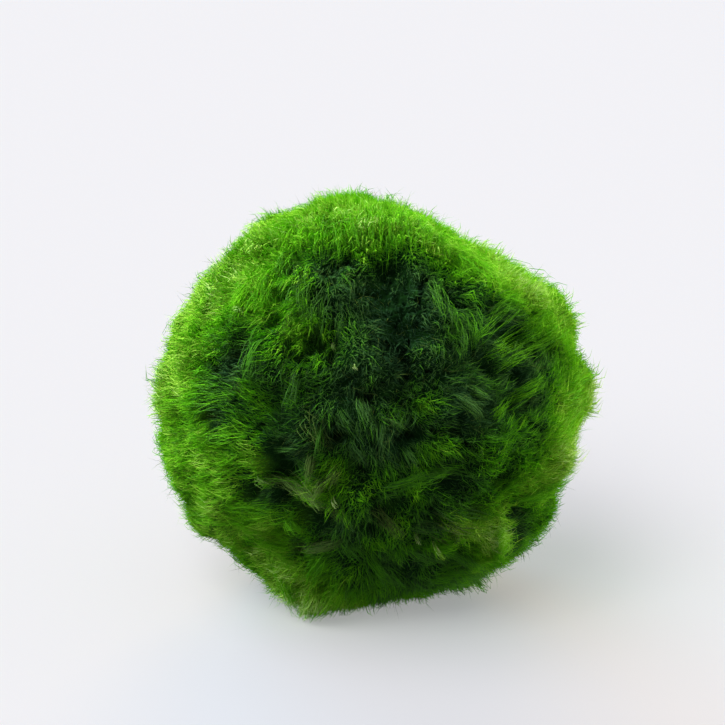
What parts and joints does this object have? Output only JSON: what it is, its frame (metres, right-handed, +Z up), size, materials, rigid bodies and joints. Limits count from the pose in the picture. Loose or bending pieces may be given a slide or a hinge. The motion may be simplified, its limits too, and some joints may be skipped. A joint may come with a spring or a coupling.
{
  "type": "marimo moss ball",
  "caption": "Soft, lumpy ball of matted green algae filaments that stand in leaning locks with dark pits between them; rests on a small flat spot.",
  "frame": {"origin": "centre of the small flat spot that the ball rests on", "axes": "+Z up; -Y towards the side that the picture shows; +X to the right in the picture"},
  "size_m": [0.0495, 0.0473, 0.045],
  "materials": {
    "moss": "damp matted filaments, near-black green at the roots, lime at the tips"
  },
  "bodies": {
    "root": {"moss_ball": "moss"}
  },
  "joints": []
}
